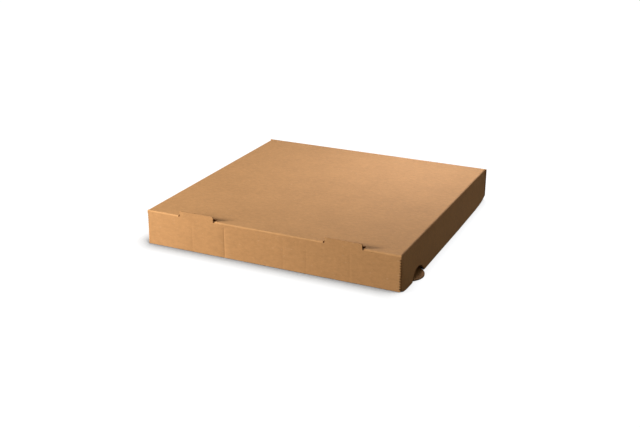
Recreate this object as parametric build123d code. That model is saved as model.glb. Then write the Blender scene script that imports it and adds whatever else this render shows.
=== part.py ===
from build123d import *
import math
import os

# Closed box, measured over the board at the creases of the lid
width = 355.6
depth = 355.6
height = 47.6

# Corrugated board: its thickness, its paper faces and the pitch of its flutes
board = 1.6
liner = 0.25
medium = 0.22
flute_pitch = 3.4
flute_cut_depth = 3.0

# Gaps between the lid and the tray, and between the lid's flaps and the floor
side_gap = 0.5
front_gap = 0.5
lid_gap = 0.3
floor_gap = 0.4
rear_gap = 0.4

# Tongues that stand above the top in line with the front flap, and the slots behind them
tongue_length = 49.4
tongue_rise = 6.2
tongue_corner = 1.0
tongue_from_side = 74.7
slot_end_gap = 2.4
slot_depth = 6.6

# Side flap of the lid: how far its free edge stands off, and its shaped corners
flare_front = 0.8
flare_most = 4.4
flare_most_at = 25.0
flare_rear = 2.0
flare_steepness = 0.75
flap_front_corner = 3.0
flap_rear_taper = 52.0
flap_rear_rise = 6.5

# Half-moon notch in the side flap, and the tongue and vent behind it in the tray
moon_from_front = 54.0
notch_chord = 44.0
notch_rise = 12.6
moon_chord = 43.5
moon_reach = 14.4

# Glued ears of the lid behind its front flap
ear_length = 38.0
ear_bottom = 14.0
ear_slope = 5.0
ear_top_gap = 0.8

# Glued corner flaps inside the tray
corner_flap_length = 42.0
corner_flap_slope = 6.0
corner_flap_drop = 1.5

# Rear wall, whose cut ends stand past the side flaps
rear_overhang = 1.8
rear_end_corner = 6.0

# Places worked out from the sizes
front = -depth / 2
rear = depth / 2
side = width / 2
top_under = height - board
wall_top = top_under - lid_gap
tray_side = side - board - side_gap
tray_front = front + 2 * board + front_gap
flap_front = front + board
flap_rear = rear - board - rear_gap
moon_y = front + moon_from_front
hinge_y = rear - board / 2
hinge_z = height - board / 2


def block(x, y, z):
    # A plain block between two limits on each axis
    size = (x[1] - x[0], y[1] - y[0], z[1] - z[0])
    centre = ((x[0] + x[1]) / 2, (y[0] + y[1]) / 2, (z[0] + z[1]) / 2)
    return Pos(*centre) * Box(*size)


def along_x(face, x):
    # A face drawn in (y, z) and drawn out along X between two limits
    plane = Plane(origin=(x[0], 0, 0), x_dir=(0, 1, 0), z_dir=(1, 0, 0))
    return extrude(plane * face, x[1] - x[0])


def along_y(face, y):
    # A face drawn in (x, z) and drawn out along Y between two limits
    plane = Plane(origin=(0, y[1], 0), x_dir=(1, 0, 0), z_dir=(0, -1, 0))
    return extrude(plane * face, y[1] - y[0])


def rectangle(u, v):
    # A flat rectangle between two limits on each axis
    return Pos((u[0] + u[1]) / 2, (v[0] + v[1]) / 2) * Rectangle(u[1] - u[0], v[1] - v[0])


def folded(u, v):
    # A rectangle whose two lower corners are rounded like a fold in the board
    face = rectangle(u, v)
    return fillet(face.vertices().sort_by(Axis.Y)[:2], board)


def upper_crease(u, v):
    # The rounded turn of the board at an upper fold, about the fold's inner corner
    return Pos(u, v) * Circle(board) & rectangle((u - board, u + board), (v, v + board))


def half_moon(chord, rise):
    # A flat half-moon that stands on its straight side
    arc = ThreePointArc((-chord / 2, 0), (0, rise), (chord / 2, 0))
    return make_face(arc + Line((chord / 2, 0), (-chord / 2, 0)))


def both_sides(solid):
    # The solid and its mirror image on the other side of the box
    return [solid, mirror(solid, about=Plane.YZ)]


def flute_section(through, row):
    # The open pockets of the flutes in a cut edge: first axis through the board, second along it
    low = through[0] + liner
    high = through[1] - liner
    count = math.floor((row[1] - row[0]) / flute_pitch - 0.5)
    start = (row[0] + row[1] - (count + 0.5) * flute_pitch) / 2
    half = flute_pitch / 2 - medium
    pockets = Sketch()
    for index in range(count):
        middle = start + (index + 0.5) * flute_pitch
        pockets += Polygon((low, middle - half), (high - medium, middle), (low, middle + half), align=None)
        middle += flute_pitch / 2
        pockets += Polygon((high, middle - half), (low + medium, middle), (high, middle + half), align=None)
    return pockets


def lid_top_panel():
    # Top panel with its rounded side creases, and the full-width strip along the hinge crease
    fold = side - board
    face = rectangle((-fold, fold), (top_under, height))
    face += [upper_crease(-fold, top_under), upper_crease(fold, top_under)]
    strip = rectangle((flap_rear, hinge_y), (top_under, height))
    bead = Pos(hinge_y, hinge_z) * Circle(board / 2)
    overhang = side + rear_overhang
    return along_y(face, (flap_front, flap_rear)) + along_x(strip + bead, (-overhang, overhang))


def lid_front_flap():
    # Front flap that runs up over a rounded crease into the top panel
    face = rectangle((front, flap_front), (floor_gap, top_under))
    face += upper_crease(flap_front, top_under) & rectangle((front, flap_front), (top_under, height))
    return along_x(face, (-side, side))


def tongue_places():
    # The middle of each raised tongue along the front crease
    return [-side + tongue_from_side, side - tongue_from_side]


def lid_tongue(x):
    # A tongue that stays upright in line with the front flap
    half = tongue_length / 2
    face = rectangle((x - half, x + half), (top_under - board, height + tongue_rise))
    upper = face.vertices().sort_by(Axis.Y)[-2:]
    return along_y(fillet(upper, tongue_corner), (front, flap_front))


def lid_slot(x):
    # The hole that a tongue leaves in the top panel, a little longer than the tongue
    reach = tongue_length / 2 + slot_end_gap
    behind = flap_front + slot_depth
    return block((x - reach, x + reach), (front - board, behind), (top_under, height + board))


def flap_strip(z, flare):
    # A thin strip of board in plan at one level, standing off by its flare
    start, most, end = [share * flare for share in (flare_front, flare_most, flare_rear)]
    most_y = flap_front + flare_most_at
    far_y = (most_y + flap_rear) / 2
    curves = []
    for face_x in (side, side - board):
        a = (face_x + start, flap_front, z)
        b = (face_x + most, most_y, z)
        c = (face_x + end, flap_rear, z)
        steep = (face_x + most * flare_steepness, flap_front, z)
        level = (face_x + most, flap_front + flare_most_at / 3, z)
        rise = Bezier(a, steep, level, b)
        fall = Bezier(b, (face_x + most, far_y, z), c)
        curves.append((a, c, rise, fall))
    outer, inner = curves
    ends = [Line(outer[1], inner[1]), Line(inner[0], outer[0])]
    return make_face([outer[2], outer[3], ends[0], inner[3], inner[2], ends[1]])


def lid_side_flap():
    # Side flap from the crease down to its free edge, which stands off the tray
    sheet = loft([flap_strip(floor_gap, 1.0), flap_strip(top_under, 0.0)], ruled=True)
    low = floor_gap
    taper_start = flap_rear - flap_rear_taper
    lines = Line((flap_front, height), (flap_front, low + flap_front_corner))
    lines += CenterArc((flap_front + flap_front_corner, low + flap_front_corner), flap_front_corner, 180, 90)
    lines += Line((flap_front + flap_front_corner, low), (taper_start, low))
    taper_centre = (taper_start, low + flap_rear_rise)
    lines += EllipticalCenterArc(taper_centre, flap_rear_taper, flap_rear_rise, start_angle=270, arc_size=90)
    lines += Line((flap_rear, low + flap_rear_rise), (flap_rear, height))
    lines += Line((flap_rear, height), (flap_front, height))
    outline = make_face(lines) - Pos(moon_y, low) * half_moon(notch_chord, notch_rise)
    return sheet & along_x(outline, (side - 2 * board, side + flare_most + board))


def lid_ear():
    # Ear of the side flap, glued flat behind the front flap
    outer = side - board / 4
    inner = side - board - ear_length
    top = top_under - ear_top_gap
    points = [(outer, ear_bottom), (outer, top), (inner + ear_slope, top)]
    points += [(inner, top - ear_slope), (inner, ear_bottom + ear_slope)]
    points += [(inner + ear_slope, ear_bottom)]
    return along_y(make_face(Polyline(points, close=True)), (flap_front, flap_front + board))


def lid_edge_flutes():
    # Open flutes in the cut end of the front flap
    pockets = flute_section((front, flap_front), (floor_gap + liner, top_under))
    plane = Plane(origin=(side - flute_cut_depth, 0, 0), x_dir=(0, 1, 0), z_dir=(1, 0, 0))
    return extrude(plane * pockets, flute_cut_depth + board)


def make_lid():
    # The upper half of the folded blank as one sheet
    lid = lid_top_panel() + lid_front_flap()
    for x in tongue_places():
        lid -= lid_slot(x)
        lid += lid_tongue(x)
    lid += both_sides(lid_side_flap())
    lid += both_sides(lid_ear())
    lid -= both_sides(lid_edge_flutes())
    return lid


def tray_walls():
    # Base panel with its four walls, each turned up over a rounded crease
    inner_front = tray_front + board
    inner_rear = rear - board
    inner_side = tray_side - board
    lengthways = folded((tray_front, rear), (0, wall_top))
    lengthways -= rectangle((inner_front, inner_rear), (board, height))
    across = folded((-tray_side, tray_side), (0, wall_top))
    across -= rectangle((-inner_side, inner_side), (board, height))
    tray = along_x(lengthways, (-tray_side, tray_side))
    return tray + along_y(across, (inner_front, inner_rear))


def tray_rear_ends():
    # The rear wall's full width, with its lower corners rounded
    reach = side + rear_overhang
    face = rectangle((-reach, reach), (board, wall_top))
    lower = face.vertices().sort_by(Axis.Y)[:2]
    return along_y(fillet(lower, rear_end_corner), (rear - board, rear))


def corner_flap(y):
    # A side wall's corner flap, glued flat against the front or the rear wall
    outer = tray_side - board / 2
    inner = tray_side - board - corner_flap_length
    top = wall_top - corner_flap_drop
    points = [(outer, board), (outer, top), (inner + corner_flap_slope, top)]
    points += [(inner, top - corner_flap_slope), (inner, board + corner_flap_slope)]
    points += [(inner + corner_flap_slope, board)]
    return along_y(make_face(Polyline(points, close=True)), (y, y + board))


def tray_moon_tongue():
    # Half-moon that stays flat in the base plane when the side wall is folded up
    face = Rot(0, 0, -90) * half_moon(moon_chord, moon_reach)
    inner_side = tray_side - board
    tongue = extrude(Pos(inner_side, moon_y) * face, board)
    span = (moon_y - moon_chord / 2, moon_y + moon_chord / 2)
    root = block((inner_side - board, inner_side), span, (0, board))
    return tongue + root


def tray_moon_vent():
    # The hole that the half-moon leaves in the side wall
    face = Pos(moon_y, board) * half_moon(moon_chord, moon_reach)
    return along_x(face, (tray_side - 1.5 * board, tray_side + board))


def rear_edge_flutes():
    # Open flutes in the cut end of the rear wall
    pockets = flute_section((rear - board, rear), (board + rear_end_corner, wall_top))
    start = side + rear_overhang - flute_cut_depth
    plane = Plane(origin=(start, 0, 0), x_dir=(0, 1, 0), z_dir=(1, 0, 0))
    return extrude(plane * pockets, flute_cut_depth + board)


def make_tray():
    # The lower half of the folded blank as one sheet
    tray = tray_walls() + tray_rear_ends()
    for y in (tray_front + board, rear - 2 * board):
        tray += both_sides(corner_flap(y))
    tray -= both_sides(tray_moon_vent())
    tray += both_sides(tray_moon_tongue())
    tray -= both_sides(rear_edge_flutes())
    return tray


def save(shape, node):
    # One file for each sub-part
    solids = shape.solids()
    print(node, "solids", len(solids), "volume", round(shape.volume, 1))
    export_step(shape, "parts/" + node + ".step")


os.makedirs("parts", exist_ok=True)
save(make_lid(), "lid")
save(make_tray(), "base_tray")
print("hinge axis at y", round(hinge_y, 3), "z", round(hinge_z, 3))
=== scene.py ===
# %% [markdown]
# A kraft pizza box is one sheet of thin corrugated board, folded and glued. What makes it
# look real is small: the paper is mottled and fibrous, every raw edge shows the flutes
# inside the board, and no panel is quite flat. All of that could be painted on with bump,
# but light only catches real bends and real holes, so here they are modelled. The solids
# give the shape and the hinge. Each half is copied from its solid, its raw edges are opened,
# its panels get a slight wave and a few dents, and then the paper goes on.

# %% Load the frame
import bpy
import bmesh
import math
from mathutils import Matrix, Vector, noise
from mathutils.bvhtree import BVHTree


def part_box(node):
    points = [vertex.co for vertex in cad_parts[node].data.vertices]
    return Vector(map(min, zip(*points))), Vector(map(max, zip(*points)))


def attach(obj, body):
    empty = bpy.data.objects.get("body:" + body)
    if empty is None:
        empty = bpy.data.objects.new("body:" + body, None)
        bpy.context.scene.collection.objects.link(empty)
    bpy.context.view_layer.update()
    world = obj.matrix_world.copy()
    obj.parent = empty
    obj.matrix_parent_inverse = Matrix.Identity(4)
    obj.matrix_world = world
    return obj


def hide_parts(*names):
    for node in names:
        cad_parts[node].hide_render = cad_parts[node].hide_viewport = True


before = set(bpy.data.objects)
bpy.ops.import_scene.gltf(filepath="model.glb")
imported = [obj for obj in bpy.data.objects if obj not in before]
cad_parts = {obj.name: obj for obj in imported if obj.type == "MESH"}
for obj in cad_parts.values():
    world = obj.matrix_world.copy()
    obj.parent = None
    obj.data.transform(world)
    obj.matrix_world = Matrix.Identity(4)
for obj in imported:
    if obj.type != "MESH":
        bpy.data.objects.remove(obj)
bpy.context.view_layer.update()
lid_low, lid_high = [Vector(corner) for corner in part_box("lid")]
tray_low, tray_high = [Vector(corner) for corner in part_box("base_tray")]
print("lid from", lid_low, "to", lid_high)
print("tray from", tray_low, "to", tray_high)

# %% [markdown]
# The sizes are those of the real box, in metres. They could all be typed in, but then the
# scene would miss its solids as soon as one of them changes. So what the frame can say is
# read from the frame, and only the make-up of the board and its gaps are written as numbers
# here. The sizes of single features are named where they are first needed.

# %% Sizes of the board and the box
BOARD = 0.0016
LINER = 0.00025
MEDIUM = 0.00022
FLUTE_PITCH = 0.0034
LID_GAP = 0.0003
SIDE_GAP = 0.0005
FRONT_GAP = 0.0005
REAR_GAP = 0.0004
REAR_OVERHANG = 0.0018

front = lid_low.y
rear = lid_high.y
side = rear
tray_side = side - BOARD - SIDE_GAP
tray_front = front + 2 * BOARD + FRONT_GAP
wall_top = tray_high.z
top = wall_top + LID_GAP + BOARD
under_top = top - BOARD
flap_low = lid_low.z
flap_rear = rear - BOARD - REAR_GAP
print("top of the lid at", round(top, 4), "tray wall at", round(tray_side, 4))

# %% [markdown]
# The camera stands where the photographer stood: to the right of the front and looking
# down by about 21 degrees, through a lens of about 55 mm. A constraint could aim it at the
# box, but a turn, a tilt and a slight roll, written as angles, say more plainly how it is held.

# %% Camera
CAMERA_PLACE = Vector((0.5345, -1.1780, 0.5093))
CAMERA_TURN = math.radians(24.80)
CAMERA_TILT = math.radians(21.12)
CAMERA_ROLL = math.radians(0.19)
LENS = 55.24
SENSOR_WIDTH = 36

camera_data = bpy.data.cameras.new("camera")
camera_data.lens = LENS
camera_data.sensor_width = SENSOR_WIDTH
camera_data.sensor_fit = "HORIZONTAL"
camera = bpy.data.objects.new("camera", camera_data)
turn = Matrix.Rotation(CAMERA_TURN, 4, "Z")
tilt = Matrix.Rotation(math.pi / 2 - CAMERA_TILT, 4, "X")
roll = Matrix.Rotation(CAMERA_ROLL, 4, "Z")
camera.matrix_world = Matrix.Translation(CAMERA_PLACE) @ turn @ tilt @ roll
bpy.context.scene.collection.objects.link(camera)
bpy.context.scene.camera = camera
bpy.context.scene.view_settings.view_transform = "Standard"
print("camera is", round(CAMERA_PLACE.length, 2), "m from the middle of the box")

# %% [markdown]
# Three lamps and a faint sky light the box. The key lamp is low, out from the front left
# corner, so the front face fades to the right and the raised tongues throw a short shadow
# along the crease. A weak, slightly cool lamp hangs over the far right of the lid, and
# another stands behind, where the paper's sheen sends its light to the camera. The right
# side sees none of them, so it stays dark. A sun lamp would light each face evenly. Lamps
# close to the box, each with a size, give the fall in brightness and the soft shadows of a
# real studio.


# %% Lamps
def soft_lamp(name, place, aim, size, watts, colour=(1, 1, 1)):
    lamp = bpy.data.lights.new(name, "AREA")
    lamp.color = colour
    lamp.shape = "DISK"
    lamp.size = size
    lamp.energy = watts
    holder = bpy.data.objects.new(name, lamp)
    look = Vector(aim) - Vector(place)
    turned = look.to_track_quat("-Z", "Y").to_matrix().to_4x4()
    holder.matrix_world = Matrix.Translation(Vector(place)) @ turned
    bpy.context.scene.collection.objects.link(holder)
    print(name, "lamp", watts, "W,", round(look.length, 2), "m from its aim")


BOX_MIDDLE = (0, 0, 0.03)
LID_REAR_RIGHT = (0.08, 0.1, 0.05)
COOL = (0.95, 1.02, 1.3)

soft_lamp("key", place=(-1.0, -0.74, 0.33), aim=BOX_MIDDLE, size=0.3, watts=29.5)
soft_lamp("far", place=(0.129, 0.203, 0.361), aim=BOX_MIDDLE, size=0.12, watts=0.97, colour=COOL)
soft_lamp("behind", place=(-0.12, 1.0, 0.36), aim=LID_REAR_RIGHT, size=0.35, watts=2.3)

# %% [markdown]
# The sky is plain white wherever the camera or a reflection looks at it, and it lights the
# box only faintly, with the warm tint of a room. One bright sky could do both, but it would
# flood the dark side of the box with light. Light Path tells the two kinds of ray apart.


# %% Sky
def looked_at(tree):
    # One where the camera, a reflection or a clear material is looking
    paths = tree.nodes.new("ShaderNodeLightPath")
    first = tree.nodes.new("ShaderNodeMath")
    first.operation = "MAXIMUM"
    second = tree.nodes.new("ShaderNodeMath")
    second.operation = "MAXIMUM"
    tree.links.new(paths.outputs["Is Camera Ray"], first.inputs[0])
    tree.links.new(paths.outputs["Is Glossy Ray"], first.inputs[1])
    tree.links.new(first.outputs["Value"], second.inputs[0])
    tree.links.new(paths.outputs["Is Transmission Ray"], second.inputs[1])
    return second.outputs["Value"]


SKY_LIGHT = 0.135
SKY_TINT = (1.0, 0.93, 0.74, 1)
WHITE = (1, 1, 1, 1)

sky = bpy.data.worlds.new("sky")
bpy.context.scene.world = sky
sky.use_nodes = True
sky_tree = sky.node_tree
faint = sky_tree.nodes["Background"]
faint.inputs["Color"].default_value = SKY_TINT
faint.inputs["Strength"].default_value = SKY_LIGHT
plain_white = sky_tree.nodes.new("ShaderNodeBackground")
plain_white.inputs["Color"].default_value = WHITE
plain_white.inputs["Strength"].default_value = 1.0
sky_choice = sky_tree.nodes.new("ShaderNodeMixShader")
sky_tree.links.new(looked_at(sky_tree), sky_choice.inputs["Fac"])
sky_tree.links.new(faint.outputs["Background"], sky_choice.inputs[1])
sky_tree.links.new(plain_white.outputs["Background"], sky_choice.inputs[2])
sky_tree.links.new(sky_choice.outputs["Shader"], sky_tree.nodes["World Output"].inputs["Surface"])
print("sky gives", SKY_LIGHT, "of white")

# %% [markdown]
# The box stands on a white sweep of studio paper. A curved backdrop could be built, but at
# this height of the camera one large flat sheet under a white sky looks the same.

# %% Floor
FLOOR_HALF = 8.0

floor_mesh = bpy.data.meshes.new("floor")
floor_bm = bmesh.new()
bmesh.ops.create_grid(floor_bm, x_segments=1, y_segments=1, size=FLOOR_HALF)
floor_bm.to_mesh(floor_mesh)
floor_bm.free()
floor = bpy.data.objects.new("floor", floor_mesh)
bpy.context.scene.collection.objects.link(floor)
print("floor", 2 * FLOOR_HALF, "m across")

# %% [markdown]
# In a studio the sweep is lit from all around, and only a soft contact shadow stays. That
# many lamps would also light the dark side of the box. So for the camera the floor is white
# by its own glow, and Ambient Occlusion lets the glow fade where the box stands close. Its
# search leans to the right and back, which puts the shadow in front and to the left. For the
# box the floor is a dull grey, so that it throws little light up at the dark side.

# %% Floor paint
FLOOR_BOUNCE = 0.2
FLOOR_SEEN = 0.12
SHADOW_REACH = 0.03
SHADOW_SAMPLES = 8
SHADOW_DARKEST = 0.4
SHADOW_GONE = 0.97
SHADOW_SOFTNESS = 0.45
SHADOW_LEAN = Vector((0.52, 0.36, 0.78))

floor_paint = bpy.data.materials.new("floor_paint")
floor_paint.use_nodes = True
floor_tree = floor_paint.node_tree
floor_tree.nodes.clear()
seen = floor_tree.nodes.new("ShaderNodeBsdfDiffuse")
seen.inputs["Color"].default_value = (FLOOR_SEEN, FLOOR_SEEN, FLOOR_SEEN, 1)
closeness = floor_tree.nodes.new("ShaderNodeAmbientOcclusion")
closeness.samples = SHADOW_SAMPLES
closeness.inputs["Distance"].default_value = SHADOW_REACH
lean = floor_tree.nodes.new("ShaderNodeCombineXYZ")
for axis, value in zip("XYZ", SHADOW_LEAN.normalized()):
    lean.inputs[axis].default_value = value
floor_tree.links.new(lean.outputs["Vector"], closeness.inputs["Normal"])
fade = floor_tree.nodes.new("ShaderNodeMapRange")
fade.inputs["From Min"].default_value = SHADOW_DARKEST
fade.inputs["From Max"].default_value = SHADOW_GONE
soften = floor_tree.nodes.new("ShaderNodeMath")
soften.operation = "POWER"
soften.inputs[1].default_value = SHADOW_SOFTNESS
glow = floor_tree.nodes.new("ShaderNodeEmission")
glow.inputs["Color"].default_value = WHITE
bright = floor_tree.nodes.new("ShaderNodeAddShader")
dull = floor_tree.nodes.new("ShaderNodeBsdfDiffuse")
dull.inputs["Color"].default_value = (FLOOR_BOUNCE, FLOOR_BOUNCE, FLOOR_BOUNCE, 1)
floor_choice = floor_tree.nodes.new("ShaderNodeMixShader")
floor_out = floor_tree.nodes.new("ShaderNodeOutputMaterial")
floor_tree.links.new(closeness.outputs["AO"], fade.inputs["Value"])
floor_tree.links.new(fade.outputs["Result"], soften.inputs[0])
floor_tree.links.new(soften.outputs["Value"], glow.inputs["Strength"])
floor_tree.links.new(seen.outputs["BSDF"], bright.inputs[0])
floor_tree.links.new(glow.outputs["Emission"], bright.inputs[1])
floor_tree.links.new(looked_at(floor_tree), floor_choice.inputs["Fac"])
floor_tree.links.new(dull.outputs["BSDF"], floor_choice.inputs[1])
floor_tree.links.new(bright.outputs["Shader"], floor_choice.inputs[2])
floor_tree.links.new(floor_choice.outputs["Shader"], floor_out.inputs["Surface"])
floor.data.materials.append(floor_paint)
print("contact shadow within", SHADOW_REACH, "m of the box")

# %% [markdown]
# Each half of the box is one folded sheet. It could be folded up again from a flat plane,
# but its solid already has every fold in place, so the solid is copied whole. A solid's mesh
# comes as loose triangles. The copy is welded, and triangles that lie in one plane are
# joined again, which leaves clean panels to work on.

# %% Copy a half of the box from its solid
WELD = 1e-6
FLAT = math.radians(0.2)


def sheet_from(node):
    bm = bmesh.new()
    bm.from_mesh(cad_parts[node].data)
    bmesh.ops.remove_doubles(bm, verts=bm.verts, dist=WELD)
    bmesh.ops.dissolve_limit(bm, angle_limit=FLAT, verts=bm.verts, edges=bm.edges)
    print(node, "copied with", len(bm.faces), "faces")
    return bm


lid_sheet = sheet_from("lid")
tray_sheet = sheet_from("base_tray")

# %% [markdown]
# Where the board was cut, its raw edge is browner and rougher than its paper. Such an edge
# is a face about as wide as the board is thick, between two paper faces that look in
# opposite directions. Picking the faces by hand would be lost with the next change of a
# size, so the copy is searched for them, and each gets a light mark that the paint reads
# later. Open flutes get a full mark, which paints the shade inside them as dark brown.

# %% Mark the raw edges
CUT_PAPER = 0.3
# The full mark paints the inside of an open flute dark brown, as shade
OPEN_FLUTE_SHADE = 1.0
NARROWEST = 0.5 * BOARD
WIDEST = 2.3 * BOARD
TURNED_AWAY = 0.5
BACK_TO_BACK = -0.9
MOST_SIDES = 60


def mark_raw_edges(bm):
    mark = bm.faces.layers.float.new("raw_edge_and_shade")
    found = 0
    for face in bm.faces:
        turned = []
        for edge in face.edges:
            for other in edge.link_faces:
                if other != face and abs(other.normal.dot(face.normal)) < TURNED_AWAY:
                    turned.append((other.normal, edge))
        for normal, edge in turned[:MOST_SIDES]:
            middle = (edge.verts[0].co + edge.verts[1].co) / 2
            for normal_b, edge_b in turned[:MOST_SIDES]:
                if normal.dot(normal_b) < BACK_TO_BACK:
                    across = abs((edge_b.verts[0].co - middle).dot(normal))
                    if NARROWEST < across < WIDEST:
                        face[mark] = CUT_PAPER
        found += face[mark] > 0
    print("raw edge faces", found)


mark_raw_edges(lid_sheet)
mark_raw_edges(tray_sheet)

# %% [markdown]
# A flat panel with only four corners can't be dented. Subdividing would also add points in
# the thickness of the board, so planes cut the sheet at even steps instead. They give it a
# grid, with closer points beside each crease, where the paper is crushed, and at the press
# lines across the front flap.

# %% Cut the sheets into a grid
GRID_STEP = 0.009
CREASE_BAND = 0.0024
CUT_SNAP = 2e-6
# Each press line's place, as a share of half the width, and how deep it is beside the deepest
PRESS_LINES = {-0.352: 1.0, -0.62: 0.35, 0.12: 0.3, 0.30: 0.25, 0.63: 0.3}
PRESS_HALF = 0.0016


def even_steps(low, high, step):
    count = max(1, round((high - low) / step))
    return [low + (high - low) * index / count for index in range(1, count)]


def press_x(share):
    return share * side


def slice_at(bm, axis, places):
    normal = Vector((0, 0, 0))
    normal[axis] = 1
    for value in places:
        everything = bm.verts[:] + bm.edges[:] + bm.faces[:]
        bmesh.ops.bisect_plane(bm, geom=everything, dist=CUT_SNAP,
                               plane_co=normal * value, plane_no=normal)


across_cuts = even_steps(-side, side, GRID_STEP)
across_cuts += [side - CREASE_BAND, CREASE_BAND - side]
for share in PRESS_LINES:
    across_cuts += [press_x(share) + PRESS_HALF * step / 2 for step in (-2, -1, 0, 1, 2)]
along_cuts = even_steps(front, rear, GRID_STEP)
along_cuts += [front + BOARD + CREASE_BAND, rear - 2 * CREASE_BAND]
up_cuts = even_steps(0, top, GRID_STEP)
up_cuts += [top - CREASE_BAND - BOARD, CREASE_BAND + BOARD]
for sheet in (lid_sheet, tray_sheet):
    slice_at(sheet, 0, across_cuts)
    slice_at(sheet, 1, along_cuts)
    slice_at(sheet, 2, up_cuts)
    print("sheet cut into", len(sheet.faces), "faces")

# %% [markdown]
# Between its two papers the board holds a wavy one, the fluting. In the side flaps and side
# walls the flutes run up and down, so they lie open all along the lower edge of the lid and
# the upper edge of the tray. A dark wavy line painted on the edge would look flat from
# close by, so each open flute is a three-sided pocket a few millimetres deep. A probe finds
# the edge and the paper next to it, so that a pocket sits right in a curved flap too.

# %% Find the board at a raw edge
POCKET_DEPTH = 0.003
POCKET_CLEAR = 0.0008
PROBE_IN = (0.0007, 0.0026)
PROBE_REACH = 0.03
UP = Vector((0, 0, 1))
DOWN = Vector((0, 0, -1))
OUT_X = Vector((1, 0, 0))
OUT_Y = Vector((0, 1, 0))


def pocket_place(tree, start, probe, free_side):
    # The middle of the raw edge and the way in between the papers
    hit = tree.ray_cast(start, probe, PROBE_REACH)[0]
    if hit is None:
        return None
    middles = []
    for depth in PROBE_IN:
        paper = tree.ray_cast(hit + probe * depth, free_side, BOARD)[0]
        if paper is None:
            return None
        middles.append(paper - free_side * BOARD / 2)
    inward = (middles[1] - middles[0]).normalized()
    return middles[0] - inward * PROBE_IN[0], inward


print("pockets go", POCKET_DEPTH, "m into the board")

# %% [markdown]
# The pockets point to one paper and to the other in turn, half a pitch apart, as the
# fluting does. The cone operator with two equal ends makes a three-sided bar, and the matrix
# gives it the pocket's width and height. One boolean for each pocket would be slow, so all
# the cutters of a sheet are one mesh, and a single boolean opens every edge.

# %% Cutters for the open flutes
POCKET_HEIGHT = BOARD - 2 * LINER - MEDIUM
POCKET_LENGTH = POCKET_DEPTH + POCKET_CLEAR
TRIANGLE_HALF_WIDTH = math.cos(math.radians(30))
TRIANGLE_HEIGHT = 1.5


def add_pocket(cutters, place, free_side, point_out):
    # A triangle of radius 1 is 1.5 high, with its middle a third of that above its foot
    mouth, inward = place
    along = free_side.cross(inward).normalized()
    through = inward.cross(along).normalized()
    way = 1 if point_out else -1
    wide = (FLUTE_PITCH / 2 - MEDIUM) / TRIANGLE_HALF_WIDTH
    tall = POCKET_HEIGHT / TRIANGLE_HEIGHT
    shift = way * (LINER - BOARD / 2 + POCKET_HEIGHT / 3)
    centre = mouth + inward * (POCKET_LENGTH / 2 - POCKET_CLEAR) + through * shift
    turned = Matrix((along * wide, through * tall * way, inward * POCKET_LENGTH))
    put = Matrix.Translation(centre) @ turned.transposed().to_4x4()
    bmesh.ops.create_cone(cutters, cap_ends=True, segments=3, radius1=1, radius2=1, depth=1, matrix=put)


def open_row(cutters, tree, start, end, probe, free_side):
    # One row of pockets along a raw edge, probed from a line that is clear of the sheet
    run = end - start
    step = FLUTE_PITCH / 2
    made = 0
    for index in range(int(run.length / step)):
        point = start + run.normalized() * step * (index + 0.5)
        place = pocket_place(tree, point, probe, free_side)
        if place:
            add_pocket(cutters, place, free_side, index % 2 == 0)
            made += 1
    return made


print("pockets are", round(POCKET_HEIGHT, 5), "m high and", FLUTE_PITCH, "m apart")

# %% [markdown]
# On the lid, flutes are open along the lower edge of both side flaps and round the arch of
# the notch, under the glued ears, and at the ends of the raised tongues. A side flap stands
# off the tray by a changing amount, so its edge is first looked for from the side. At the
# cut ends of the front flap the outer paper is frayed over each flute, and each bite, painted
# dark inside as shade, shows as a dark dot in a row down the corner.

# %% Open flutes of the lid
EDGE_MARGIN = 0.004
FRAY_START = 0.003375
FRAY_COUNT = 12
FRAY_DEPTH = 0.0017
FRAY_VARY = 0.2
FRAY_THROUGH = 0.0014
FRAY_HALF = 0.00095
FRAY_CHANGE = 2.4
OUTSIDE = 0.2
LOOK_LIFTS = (0.0015, 0.008, 0.0145)
LOOK_REACH = 0.026
LOOK_BELOW = 0.004
EAR_REACH = 0.038
EAR_PROBE_AT = 0.002
TONGUE_CLEAR = 0.0015
TONGUE_FOOT = 0.0002
TONGUE_FROM_SIDE = 0.0747
TONGUE_HALF = 0.0247
TONGUE_RISE = lid_high.z - top

lid_tree = BVHTree.FromBMesh(lid_sheet)
lid_cutters = bmesh.new()


def flap_edge_row(way):
    outward = OUT_X * way
    step = FLUTE_PITCH / 2
    first = front + BOARD + EDGE_MARGIN
    made = 0
    for index in range(int((flap_rear - EDGE_MARGIN - first) / step)):
        y = first + step * (index + 0.5)
        for lift in LOOK_LIFTS:
            seen_from = Vector((way * OUTSIDE, y, flap_low + lift))
            outer = lid_tree.ray_cast(seen_from, -outward, LOOK_REACH)[0]
            if outer is None:
                continue
            start = Vector((outer.x - way * BOARD / 2, y, flap_low - LOOK_BELOW))
            place = pocket_place(lid_tree, start, UP, outward)
            if place:
                add_pocket(lid_cutters, place, outward, index % 2 == 0)
                made += 1
                break
    return made


def frayed_end(way):
    # Rounded bites, of slightly changing depth, where the front paper has broken away
    first = flap_low + FRAY_START
    for index in range(FRAY_COUNT):
        deep = FRAY_DEPTH * (1 + FRAY_VARY * math.sin(FRAY_CHANGE * index))
        centre = Matrix.Translation(Vector((way * side, front, first + index * FLUTE_PITCH)))
        shape = Matrix(((deep, 0, 0), (0, 0, 2 * FRAY_THROUGH), (0, FRAY_HALF, 0))).to_4x4()
        bmesh.ops.create_cone(lid_cutters, cap_ends=True, segments=10, radius1=1, radius2=1,
                              depth=1, matrix=centre @ shape)


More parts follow.
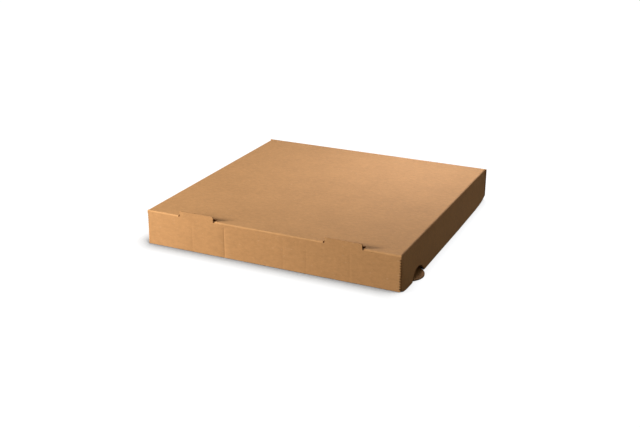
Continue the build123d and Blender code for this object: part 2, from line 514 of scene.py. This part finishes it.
for way in (-1, 1):
    frayed_end(way)
    ear_in = Vector((way * (side - BOARD - EAR_REACH), front + 1.5 * BOARD, EAR_PROBE_AT))
    ear_out = Vector((way * (side - BOARD), front + 1.5 * BOARD, EAR_PROBE_AT))
    made = flap_edge_row(way) + open_row(lid_cutters, lid_tree, ear_in, ear_out, UP, OUT_Y)
    for end in (-1, 1):
        x = way * (side - TONGUE_FROM_SIDE) + end * (TONGUE_HALF + TONGUE_CLEAR)
        low = Vector((x, front + BOARD / 2, top + TONGUE_FOOT))
        high = Vector((x, front + BOARD / 2, top + TONGUE_RISE))
        made += open_row(lid_cutters, lid_tree, low, high, -end * OUT_X, OUT_Y)
    print("open flutes on one side of the lid", made)

# %% [markdown]
# On the tray they are open along the top of the side walls and of the glued corner flaps,
# in the arch over each vent, and round the half-moon tongue that lies on the floor.

# %% Open flutes of the tray
CORNER_FLAP_REACH = 0.042
MOON_FROM_FRONT = 0.054
MOON_HALF = 0.0205
PROBE_ABOVE = 0.002
ARCH_CLEAR = 0.0005

above = wall_top + PROBE_ABOVE
arch_foot = BOARD + ARCH_CLEAR
moon_near = front + MOON_FROM_FRONT - MOON_HALF
moon_far = front + MOON_FROM_FRONT + MOON_HALF
tray_tree = BVHTree.FromBMesh(tray_sheet)
tray_cutters = bmesh.new()
for way in (-1, 1):
    outward = OUT_X * way
    wall_x = way * (tray_side - BOARD / 2)
    wall_front = Vector((wall_x, tray_front + 2 * BOARD, above))
    wall_rear = Vector((wall_x, rear - 2 * BOARD, above))
    made = open_row(tray_cutters, tray_tree, wall_front, wall_rear, DOWN, outward)
    arch_front = Vector((wall_x, moon_near, arch_foot))
    arch_rear = Vector((wall_x, moon_far, arch_foot))
    made += open_row(tray_cutters, tray_tree, arch_front, arch_rear, UP, outward)
    moon_front = Vector((way * OUTSIDE, moon_near, BOARD / 2))
    moon_rear = Vector((way * OUTSIDE, moon_far, BOARD / 2))
    made += open_row(tray_cutters, tray_tree, moon_front, moon_rear, -outward, UP)
    for y, free_side in ((tray_front + 1.5 * BOARD, OUT_Y), (rear - 1.5 * BOARD, -OUT_Y)):
        inner = Vector((way * (tray_side - BOARD - CORNER_FLAP_REACH), y, above))
        outer = Vector((way * (tray_side - BOARD), y, above))
        made += open_row(tray_cutters, tray_tree, inner, outer, DOWN, free_side)
    print("open flutes on one side of the tray", made)

# %% [markdown]
# The cut ends of the front flap and of the rear wall are open in the solids already, so
# there only the marks are missing: the full mark that paints the shade inside the flutes.
# Those faces are told by their place: between the papers, and less than a pocket's depth
# from the end.

# %% Mark the flutes that the solids have
HAIR = 1e-5
IN_THE_PAPER = LINER * 0.8


def mark_solid_flutes(bm, end, near, far):
    mark = bm.faces.layers.float["raw_edge_and_shade"]
    marked = 0
    for face in bm.faces:
        middle = face.calc_center_median()
        deep = end - POCKET_DEPTH - IN_THE_PAPER < abs(middle.x) < end - HAIR
        between = near + IN_THE_PAPER < middle.y < far - IN_THE_PAPER
        if deep and between and under_top > middle.z > flap_low + LINER:
            # Painted shade inside the solid's own open flutes
            face[mark] = OPEN_FLUTE_SHADE
            marked += 1
    print("faces in the solid's own flutes", marked)


mark_solid_flutes(lid_sheet, side, front, front + BOARD)
mark_solid_flutes(tray_sheet, side + REAR_OVERHANG, rear - BOARD, rear)

# %% [markdown]
# The cutters are taken out of the sheet with a boolean. A bmesh has no such operator, so
# sheet and cutters become objects for a moment, with a Boolean modifier between them. The
# exact solver keeps the marks of both, and what it gives is read back.


# %% Cut the pockets
def carve(bm, cutters, name):
    bmesh.ops.recalc_face_normals(cutters, faces=cutters.faces)
    # Every pocket wall takes the full mark: painted shade, dark even where a lamp reaches in
    raw = cutters.faces.layers.float.new("raw_edge_and_shade")
    for face in cutters.faces:
        face[raw] = OPEN_FLUTE_SHADE
    holders = []
    for part, label in ((bm, name), (cutters, name + "_cutters")):
        mesh = bpy.data.meshes.new(label)
        part.to_mesh(mesh)
        holder = bpy.data.objects.new(label, mesh)
        bpy.context.scene.collection.objects.link(holder)
        holders.append(holder)
    cut = holders[0].modifiers.new("open_flutes", "BOOLEAN")
    cut.operation = "DIFFERENCE"
    cut.solver = "EXACT"
    cut.object = holders[1]
    ready = holders[0].evaluated_get(bpy.context.evaluated_depsgraph_get())
    bm.clear()
    bm.from_mesh(ready.to_mesh())
    ready.to_mesh_clear()
    cutters.free()
    for holder in holders:
        bpy.data.objects.remove(holder, do_unlink=True)
    raw = bm.faces.layers.float.get("raw_edge_and_shade")
    rough = sum(1 for face in bm.faces if raw and face[raw] > 0)
    open_edges = sum(1 for edge in bm.edges if len(edge.link_faces) != 2)
    print(name, "has", len(bm.faces), "faces,", rough, "of them raw, and", open_edges, "open edges")


carve(lid_sheet, lid_cutters, "lid_board")
carve(tray_sheet, tray_cutters, "tray_board")

# %% [markdown]
# Board that has been folded by hand is never flat. The lid rises a little in the middle and
# shows soft bands across it, the front flap has press lines from the machine that folds the
# blank, and every wall bends in by a fraction of a millimetre. A Displace modifier could do
# this, but by itself it can't tell a panel from its neighbour round the fold. So each panel
# gets its own formula, which fades out towards the creases, where neighbours meet. Each kind
# of bend in a wall is smaller than the gap behind that wall.

# %% Sizes of the bends
LID_RISE = 0.0007
BAND_RISE = 0.00009
WALL_BEND = 0.00032
FLAP_BEND = 0.0004
PRESS_DEPTH = 0.0003
FADE = 0.03
PANEL_FADE = 0.05
DENTS = [(-0.128, 0.022, 0.004), (-0.083, 0.012, 0.003), (-0.03, 0.03, 0.005),
         (0.045, 0.018, 0.004), (0.118, 0.034, 0.004)]
DENT_DEPTH = 0.00012


def ease(distance, over=FADE):
    share = min(1.0, max(0.0, distance / over))
    return share * share * (3 - 2 * share)


def soft(x, y, seed):
    # Slow changes between nought and one
    return 0.5 + 0.5 * noise.noise(Vector((x, y, seed)))


print("the lid rises by up to", LID_RISE, "m")

# %% [markdown]
# Each bend is a function of the place on the sheet. Both papers of the board take the same
# shift, so the board keeps its thickness. The numbers beside x, y and z say roughly how many
# waves there are to a metre, and the last one picks another part of the noise for each panel.

# %% Bends of the lid
PRESS_FADE = 0.012
FLAP_FADE = 0.04


def bend_top(p):
    inset = min(side - BOARD - abs(p.x), p.y - front - BOARD, flap_rear - p.y)
    bands = noise.noise(Vector((p.x * 5, p.y * 60, 2.0))) * ease(inset)
    p.z += LID_RISE * ease(inset, PANEL_FADE) * soft(p.x * 5, p.y * 7, 0.0) + BAND_RISE * bands


def bend_front_flap(p):
    down = ease(top - p.z, PRESS_FADE)
    push = WALL_BEND * ease(side - abs(p.x)) * ease(top - p.z) * soft(p.x * 14, p.z * 20, 5.0)
    for share, depth in PRESS_LINES.items():
        away = (p.x - press_x(share)) / (PRESS_HALF / 2)
        push += PRESS_DEPTH * depth * down * math.exp(-away * away)
    for x, z, size in DENTS:
        away = math.hypot(p.x - x, p.z - z) / size
        push += DENT_DEPTH * math.exp(-away * away)
    p.y += push


def bend_side_flap(p):
    share = ease(top - p.z, FLAP_FADE) * ease(p.y - front - BOARD)
    pull = FLAP_BEND * share * soft(p.y * 11, p.z * 12, 9.0 if p.x > 0 else 13.0)
    p.x -= math.copysign(pull, p.x)


def bend_lid(p):
    if p.y < front + 2 * BOARD + HAIR:
        if p.z < top + HAIR:
            bend_front_flap(p)
    elif abs(p.x) > side - BOARD - HAIR:
        bend_side_flap(p)
    elif p.z > under_top - HAIR:
        bend_top(p)


for vertex in lid_sheet.verts:
    bend_lid(vertex.co)
print("bent", len(lid_sheet.verts), "points of the lid")

# %% [markdown]
# The tray's walls bend inwards too, away from the lid's flaps. The rear wall stays straight
# along its top, where the lid is hinged, and the base rises a little off the table.

# %% Bends of the tray
WALL_FADE = 0.035
HINGE_FADE = 0.02
BASE_FADE = 0.06


def bend_tray(p):
    up = ease(p.z - BOARD, WALL_FADE)
    if p.y < tray_front + 2 * BOARD + HAIR:
        p.y += WALL_BEND * up * ease(tray_side - abs(p.x), PANEL_FADE) * soft(p.x * 9, 0, 20.0)
    elif p.y > rear - 2 * BOARD - HAIR:
        up *= ease(wall_top - p.z, HINGE_FADE)
        p.y -= WALL_BEND * up * ease(tray_side - abs(p.x), PANEL_FADE) * soft(p.x * 9, 0, 24.0)
    elif abs(p.x) > tray_side - BOARD - HAIR and p.z > BOARD + HAIR:
        ends = ease(min(p.y - tray_front, rear - p.y), PANEL_FADE)
        p.x -= math.copysign(FLAP_BEND * up * ends * soft(p.y * 9, 0, 28.0), p.x)
    elif p.z < BOARD + HAIR:
        inset = min(tray_side - abs(p.x), p.y - tray_front, rear - p.y)
        p.z += LID_RISE * ease(inset, BASE_FADE) * soft(p.x * 6, p.y * 6, 32.0)


for vertex in tray_sheet.verts:
    bend_tray(vertex.co)
print("bent", len(tray_sheet.verts), "points of the tray")

# %% [markdown]
# Along every crease the paint makes the paper paler: partly the stretched and rubbed paper,
# partly a painted highlight. A Bevel node could find corners while it renders, but it can't
# tell a crease from a cut edge. So how close a point is to a crease is written on the sheet,
# for the paint to read. Each crease runs along one axis, and is given by its places on the
# two others.

# %% Mark the creases
CREASE_REACH = 0.0009
ON_A_CREASE = 0.3
lid_creases = [
    ("y", front, "z", top),
    ("x", side, "z", top),
    ("x", -side, "z", top),
    ("y", rear, "z", top),
]
tray_creases = [
    ("y", tray_front, "z", 0),
    ("y", rear, "z", 0),
    ("x", tray_side, "z", 0),
    ("x", -tray_side, "z", 0),
]


def mark_creases(bm, creases):
    mark = bm.verts.layers.float.new("fold")
    for vertex in bm.verts:
        for first, at_first, second, at_second in creases:
            off_first = getattr(vertex.co, first) - at_first
            off_second = getattr(vertex.co, second) - at_second
            near = math.exp(-(math.hypot(off_first, off_second) / CREASE_REACH) ** 2)
            vertex[mark] = max(vertex[mark], near)
    print("points on a crease", sum(1 for vertex in bm.verts if vertex[mark] > ON_A_CREASE))


mark_creases(lid_sheet, lid_creases)
mark_creases(tray_sheet, tray_creases)

# %% [markdown]
# Kraft paper is long brown fibres. It has soft cloudy patches, fine threads that mostly run
# one way, pale flecks and a few dark specks. The flutes show through it as faint ribs. A
# scanned picture of the paper would need UV maps and would repeat. Noise on Object
# coordinates needs no map, never repeats and goes round the folds by itself. The fibres and
# the ribs are a node group each, with named sockets, so that another material can use them
# too. Apart from the first, the helpers below each add one node and return what it gives.


# %% Small helpers for shader nodes
def new_group(name, inputs, outputs):
    group = bpy.data.node_groups.new(name, "ShaderNodeTree")
    for socket, kind, value in inputs:
        made = group.interface.new_socket(socket, in_out="INPUT", socket_type=kind)
        made.default_value = value
    for socket, kind in outputs:
        group.interface.new_socket(socket, in_out="OUTPUT", socket_type=kind)
    return group, group.nodes.new("NodeGroupInput"), group.nodes.new("NodeGroupOutput")


def clouds(tree, vector, scale, detail, roughness):
    node = tree.nodes.new("ShaderNodeTexNoise")
    node.inputs["Scale"].default_value = scale
    node.inputs["Detail"].default_value = detail
    node.inputs["Roughness"].default_value = roughness
    tree.links.new(vector, node.inputs["Vector"])
    return node.outputs["Fac"]


def stretched(tree, vector, scale):
    node = tree.nodes.new("ShaderNodeMapping")
    node.inputs["Scale"].default_value = scale
    tree.links.new(vector, node.inputs["Vector"])
    return node.outputs["Vector"]


def spread(tree, value, low, high, to_low, to_high):
    node = tree.nodes.new("ShaderNodeMapRange")
    node.inputs["From Min"].default_value = low
    node.inputs["From Max"].default_value = high
    node.inputs["To Min"].default_value = to_low
    node.inputs["To Max"].default_value = to_high
    tree.links.new(value, node.inputs["Value"])
    return node.outputs["Result"]


def maths(tree, kind, first, second):
    node = tree.nodes.new("ShaderNodeMath")
    node.operation = kind
    for socket, value in zip(node.inputs, (first, second)):
        if isinstance(value, (int, float)):
            socket.default_value = value
        else:
            tree.links.new(value, socket)
    return node.outputs["Value"]


def mixed(tree, share, first, second):
    node = tree.nodes.new("ShaderNodeMix")
    node.data_type = "RGBA"
    for index, value in ((0, share), (6, first), (7, second)):
        if isinstance(value, (int, float, tuple)):
            node.inputs[index].default_value = value
        else:
            tree.links.new(value, node.inputs[index])
    return node.outputs[2]


def attribute(tree, name):
    node = tree.nodes.new("ShaderNodeAttribute")
    node.attribute_name = name
    return node.outputs["Fac"]


# %% [markdown]
# Four layers of noise lighten and darken the paper: wide patches, a fine mottle, threads
# from side to side and weaker threads from front to rear. A layer's noise lies mostly
# between 0.3 and 0.7, and is spread from there to how far it may change the tone. A small
# scale on a Mapping node pulls noise out along that axis, which makes it a thread. Flecks
# and specks are the rare peaks of two more noises.

# %% Kraft fibres as a node group
NOISE_LOW = 0.3
NOISE_HIGH = 0.7
KRAFT = (0.52, 0.268, 0.105, 1)
SPECK = (0.16, 0.075, 0.03, 1)
FLECK = (0.72, 0.46, 0.25, 1)
SPECK_PEAK = (0.69, 0.75)
SPECK_SHARE = 0.4
FLECK_PEAK = (0.68, 0.75)
FLECK_SHARE = 0.35
THREAD_RELIEF = 0.6
MOTTLE_RELIEF = 0.4

fibres, fibres_in, fibres_out = new_group(
    "kraft_fibres",
    [("Paper", "NodeSocketColor", KRAFT), ("Contrast", "NodeSocketFloat", 1.0)],
    [("Color", "NodeSocketColor"), ("Height", "NodeSocketFloat")],
)
spot = fibres.nodes.new("ShaderNodeTexCoord").outputs["Object"]
slightly_wide = stretched(fibres, spot, (0.6, 1, 1))
side_to_side = stretched(fibres, spot, (0.12, 1, 1))
front_to_rear = stretched(fibres, spot, (1, 0.2, 0.2))
patches = clouds(fibres, spot, scale=26, detail=5, roughness=0.6)
mottle = clouds(fibres, slightly_wide, scale=230, detail=4, roughness=0.7)
threads = clouds(fibres, side_to_side, scale=1900, detail=3, roughness=0.7)
cross_threads = clouds(fibres, front_to_rear, scale=1500, detail=3, roughness=0.7)
tone = spread(fibres, patches, NOISE_LOW, NOISE_HIGH, -0.05, 0.05)
for layer, swing in ((mottle, 0.085), (threads, 0.06), (cross_threads, 0.03)):
    tone = maths(fibres, "ADD", tone, spread(fibres, layer, NOISE_LOW, NOISE_HIGH, -swing, swing))
tone = maths(fibres, "ADD", maths(fibres, "MULTIPLY", tone, fibres_in.outputs["Contrast"]), 1.0)
toned = fibres.nodes.new("ShaderNodeHueSaturation")
fibres.links.new(fibres_in.outputs["Paper"], toned.inputs["Color"])
fibres.links.new(tone, toned.inputs["Value"])
speck_noise = clouds(fibres, spot, scale=650, detail=2, roughness=0.5)
specks = spread(fibres, speck_noise, *SPECK_PEAK, 0.0, SPECK_SHARE)
fleck_place = stretched(fibres, spot, (0.35, 1, 1))
fleck_noise = clouds(fibres, fleck_place, scale=520, detail=2, roughness=0.5)
flecks = spread(fibres, fleck_noise, *FLECK_PEAK, 0.0, FLECK_SHARE)
colour = mixed(fibres, flecks, toned.outputs["Color"], FLECK)
colour = mixed(fibres, specks, colour, SPECK)
fibres.links.new(colour, fibres_out.inputs["Color"])
thread_relief = maths(fibres, "MULTIPLY", threads, THREAD_RELIEF)
mottle_relief = maths(fibres, "MULTIPLY", mottle, MOTTLE_RELIEF)
relief = maths(fibres, "ADD", thread_relief, mottle_relief)
fibres.links.new(relief, fibres_out.inputs["Height"])
print("kraft fibres:", len(fibres.nodes), "nodes")

# %% [markdown]
# The flutes run across the box. On the lid, the base and the side walls the ribs therefore
# follow one another from front to rear, and on the front and rear walls from foot to top.
# Ribs this faint are only a ripple in the light, so they are a sine wave for the bump and
# not geometry. A slow noise makes them stronger in some places than in others.

# %% Flute ribs as a node group
WALL_FACES_Y = 0.7
STRENGTH_NOISE = (0.35, 0.65)
WEAKEST_RIB = 0.2

ribs, ribs_in, ribs_out = new_group(
    "flute_ribs", [("Pitch", "NodeSocketFloat", FLUTE_PITCH)], [("Height", "NodeSocketFloat")]
)
rib_sockets = ribs.nodes.new("ShaderNodeTexCoord")
rib_spot = rib_sockets.outputs["Object"]
rib_split = ribs.nodes.new("ShaderNodeSeparateXYZ")
ribs.links.new(rib_spot, rib_split.inputs["Vector"])
facing = ribs.nodes.new("ShaderNodeSeparateXYZ")
ribs.links.new(rib_sockets.outputs["Normal"], facing.inputs["Vector"])
facing_y = maths(ribs, "ABSOLUTE", facing.outputs["Y"], 0.0)
upright = maths(ribs, "GREATER_THAN", facing_y, WALL_FACES_Y)
lying = maths(ribs, "SUBTRACT", 1.0, upright)
up_wall = maths(ribs, "MULTIPLY", rib_split.outputs["Z"], upright)
along_panel = maths(ribs, "MULTIPLY", rib_split.outputs["Y"], lying)
travel = maths(ribs, "ADD", up_wall, along_panel)
turns = maths(ribs, "DIVIDE", travel, ribs_in.outputs["Pitch"])
wave = maths(ribs, "SINE", maths(ribs, "MULTIPLY", turns, 2 * math.pi), 0.0)
strength_noise = clouds(ribs, rib_spot, scale=20, detail=2, roughness=0.5)
strength = spread(ribs, strength_noise, *STRENGTH_NOISE, WEAKEST_RIB, 1.0)
ribs.links.new(maths(ribs, "MULTIPLY", wave, strength), ribs_out.inputs["Height"])
print("flute ribs:", len(ribs.nodes), "nodes")

# %% [markdown]
# The paint mixes the groups with the marks on the sheet. A raw edge is browner than the
# paper face, and inside an open flute it is painted dark brown as shade. A crease is paler
# in broken patches, partly where the fibres have lifted and partly as a painted highlight.
# The paper is matt with a weak sheen, which shows where the lamps glance off the lid. One
# material serves the papers and the raw edges, because the marks tell them apart point by point.

# %% The board's paint
# Brown of the raw edges, and at full mark the painted shade inside open flutes
RAW_BROWN_AND_FLUTE_SHADE = (0.19, 0.085, 0.032, 1)
RAW_SHARE = 0.8
# Pale crease colour: rubbed paper and a painted highlight
RUBBED_AND_HIGHLIGHT = (0.6, 0.34, 0.155, 1)
RUBBED_SHARE = 0.7
BREAK_NOISE = (0.38, 0.62)
SHEEN = 0.12
SMOOTHEST = 0.74
ROUGHEST = 0.9
RIB_RELIEF = 0.00003
RIB_STRENGTH = 0.4
FIBRE_RELIEF = 0.00004
FIBRE_STRENGTH = 0.5


def board_paint(name, paper, contrast):
    paint = bpy.data.materials.new(name)
    paint.use_nodes = True
    tree = paint.node_tree
    shader = tree.nodes["Principled BSDF"]
    face = tree.nodes.new("ShaderNodeGroup")
    face.node_tree = fibres
    face.inputs["Paper"].default_value = paper
    face.inputs["Contrast"].default_value = contrast
    rib = tree.nodes.new("ShaderNodeGroup")
    rib.node_tree = ribs
    rib.inputs["Pitch"].default_value = FLUTE_PITCH
    spot = tree.nodes.new("ShaderNodeTexCoord").outputs["Object"]
    break_noise = clouds(tree, spot, scale=170, detail=4, roughness=0.6)
    broken = spread(tree, break_noise, *BREAK_NOISE, 0.0, RUBBED_SHARE)
    # Crease paling in broken patches: partly rubbed fibres, partly a painted highlight
    rubbed_and_highlight = maths(tree, "MULTIPLY", attribute(tree, "fold"), broken)
    colour = mixed(tree, rubbed_and_highlight, face.outputs["Color"], RUBBED_AND_HIGHLIGHT)
    # Raw edges turn brown, and open flutes are painted dark as shade
    raw = maths(tree, "MULTIPLY", attribute(tree, "raw_edge_and_shade"), RAW_SHARE)
    tree.links.new(mixed(tree, raw, colour, RAW_BROWN_AND_FLUTE_SHADE), shader.inputs["Base Color"])
    roughness = spread(tree, face.outputs["Height"], NOISE_LOW, NOISE_HIGH, SMOOTHEST, ROUGHEST)
    tree.links.new(roughness, shader.inputs["Roughness"])
    shader.inputs["Specular IOR Level"].default_value = SHEEN
    rib_bump = tree.nodes.new("ShaderNodeBump")
    rib_bump.inputs["Strength"].default_value = RIB_STRENGTH
    rib_bump.inputs["Distance"].default_value = RIB_RELIEF
    tree.links.new(rib.outputs["Height"], rib_bump.inputs["Height"])
    fibre_bump = tree.nodes.new("ShaderNodeBump")
    fibre_bump.inputs["Strength"].default_value = FIBRE_STRENGTH
    fibre_bump.inputs["Distance"].default_value = FIBRE_RELIEF
    tree.links.new(face.outputs["Height"], fibre_bump.inputs["Height"])
    tree.links.new(rib_bump.outputs["Normal"], fibre_bump.inputs["Normal"])
    tree.links.new(fibre_bump.outputs["Normal"], shader.inputs["Normal"])
    print(name, "has", len(tree.nodes), "nodes")
    return paint


kraft_board = board_paint("kraft_board", KRAFT, 1.0)

# %% [markdown]
# The finished sheets now take the place of the plain solids. Flat shading would show the
# grid, so faces are shaded smooth, and edges stay sharp wherever the board turns a hard
# corner. Each sheet rides on its own half, so the lid's folds and flutes turn with it about
# the hinge.

# %% Put the sheets in place
HARD_CORNER = math.radians(38)


def finish_sheet(bm, name, node, body, paint):
    for face in bm.faces:
        face.smooth = True
    for edge in bm.edges:
        edge.smooth = edge.calc_face_angle(0.0) < HARD_CORNER
    mesh = bpy.data.meshes.new(name)
    bm.to_mesh(mesh)
    bm.free()
    mesh.materials.append(paint)
    sheet = bpy.data.objects.new(name, mesh)
    bpy.context.scene.collection.objects.link(sheet)
    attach(sheet, body)
    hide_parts(node)
    triangles = sum(len(face.vertices) - 2 for face in mesh.polygons)
    print(name, "rides on", body, "with", triangles, "triangles")


finish_sheet(lid_sheet, "lid_board", "lid", "lid", kraft_board)
finish_sheet(tray_sheet, "tray_board", "base_tray", "tray", kraft_board)
